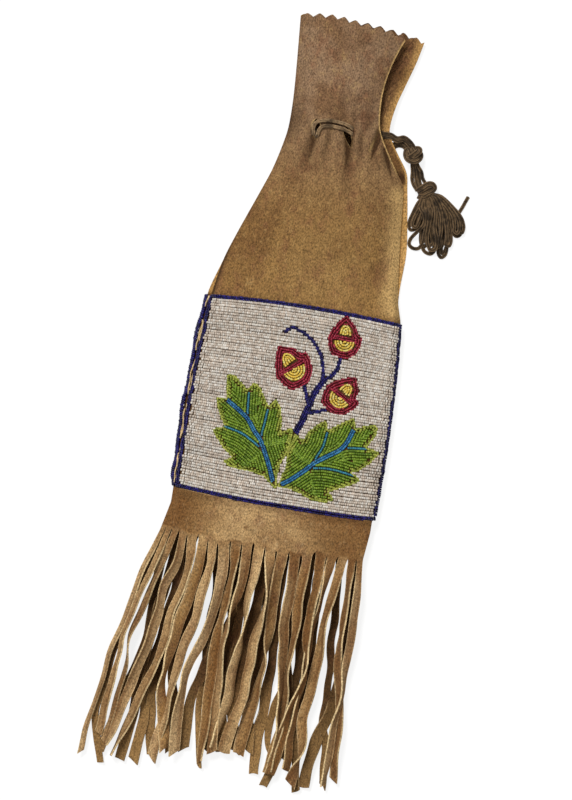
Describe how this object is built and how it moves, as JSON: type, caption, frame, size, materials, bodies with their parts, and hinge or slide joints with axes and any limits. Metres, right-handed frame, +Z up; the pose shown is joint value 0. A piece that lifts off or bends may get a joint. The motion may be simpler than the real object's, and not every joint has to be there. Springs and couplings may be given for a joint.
{
  "type": "beaded pipe bag",
  "caption": "Long soft hide pouch lying flat, with a beaded floral panel on its lower half, a cut hide fringe below, a drawn-in neck and a knotted drawstring.",
  "frame": {"origin": "centre of the back panel's beadwork, on the plane that the bag rests on", "axes": "+X to the bag's right as seen from the front, +Y up the bag to its mouth, +Z up from the rest plane, out of the front panel"},
  "size_m": [0.2234, 0.5796, 0.0252],
  "materials": {
    "smoked_hide": "smoke-tanned suede, worn and mottled",
    "fringe_hide": "golden smoke-tanned suede with pale cut edges",
    "white_beads": "opaque greyed white seed beads in rows",
    "navy_beads": "dark blue seed beads",
    "green_beads": "leaf green and lime seed beads",
    "blue_beads": "bright blue seed beads",
    "red_beads": "cranberry red seed beads",
    "yellow_beads": "opaque yellow seed beads",
    "drawstring_cord": "dark braided cord, dulled by handling"
  },
  "bodies": {
    "root": {"front_hide": "smoked_hide", "back_hide": "smoked_hide", "front_fringe": "fringe_hide", "back_fringe": "fringe_hide", "front_bead_ground": "white_beads", "front_border_top": "navy_beads", "front_border_bottom": "navy_beads", "front_border_left": "navy_beads", "front_border_right": "navy_beads", "left_leaf": "green_beads", "left_leaf_veins": "blue_beads", "right_leaf": "green_beads", "right_leaf_veins": "blue_beads", "stem": "navy_beads", "upper_acorn": "red_beads", "upper_acorn_nut": "yellow_beads", "upper_acorn_cup": "yellow_beads", "left_acorn": "red_beads", "left_acorn_nut": "yellow_beads", "left_acorn_cup": "yellow_beads", "right_acorn": "red_beads", "right_acorn_nut": "yellow_beads", "right_acorn_cup": "yellow_beads", "back_bead_ground": "white_beads", "back_border_top": "navy_beads", "back_border_bottom": "navy_beads", "back_border_left": "navy_beads", "back_border_right": "navy_beads", "upper_neck_turn": "drawstring_cord", "lower_neck_turn": "drawstring_cord", "upper_lead_a": "drawstring_cord", "upper_lead_b": "drawstring_cord", "lower_lead_a": "drawstring_cord", "lower_lead_b": "drawstring_cord", "upper_knot": "drawstring_cord", "knot_link": "drawstring_cord", "lower_knot": "drawstring_cord", "drawstring_hank": "drawstring_cord", "drawstring_end": "drawstring_cord"}
  },
  "joints": []
}
